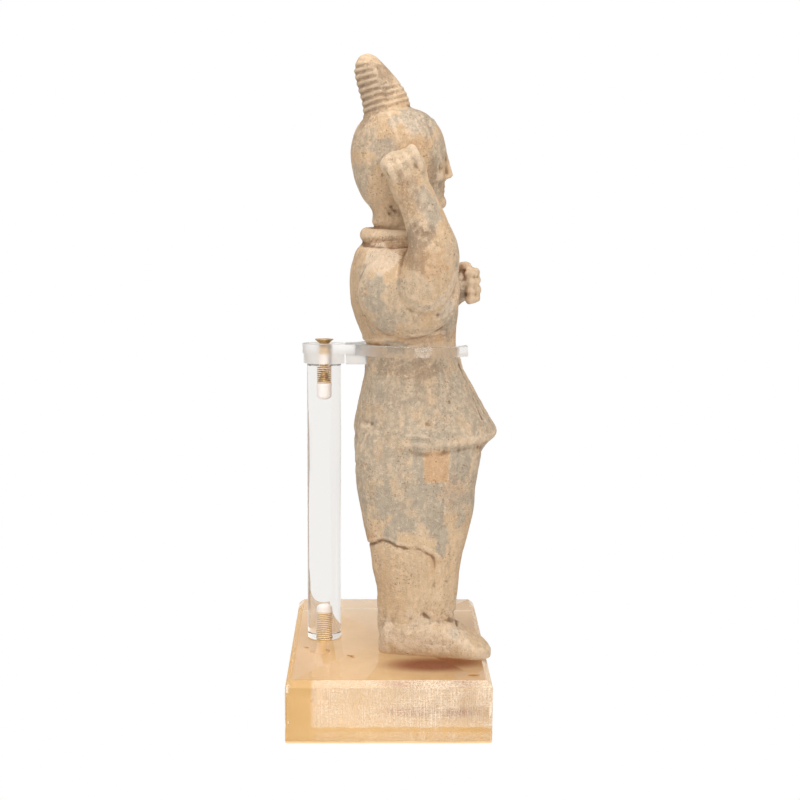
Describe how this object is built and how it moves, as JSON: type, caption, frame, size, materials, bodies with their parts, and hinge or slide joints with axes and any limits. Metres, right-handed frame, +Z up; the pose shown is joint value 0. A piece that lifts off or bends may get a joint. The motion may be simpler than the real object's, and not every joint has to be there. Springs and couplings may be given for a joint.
{
  "type": "terracotta warrior figure",
  "caption": "Standing terracotta warrior figure with one arm raised, held at the waist by a clear acrylic rod and bracket on a clear block.",
  "frame": {"origin": "middle of the stand's underside, on the liner's lower face", "axes": "+Z up; the figure faces -Y, its right side with the raised arm is at -X, and the rod stands behind it at +Y"},
  "size_m": [0.1778, 0.1337, 0.4199],
  "materials": {
    "terracotta": "unglazed, matt, with grey slip remains and earth",
    "clear_acrylic": "polished, clear",
    "liner_paper": "matt",
    "brass": "dull, tarnished"
  },
  "bodies": {
    "root": {"warrior_figure": "terracotta", "base_block": "clear_acrylic", "base_liner": "liner_paper", "support_rod": "clear_acrylic", "waist_bracket": "clear_acrylic", "top_screw": "brass", "base_screw": "brass"}
  },
  "joints": []
}
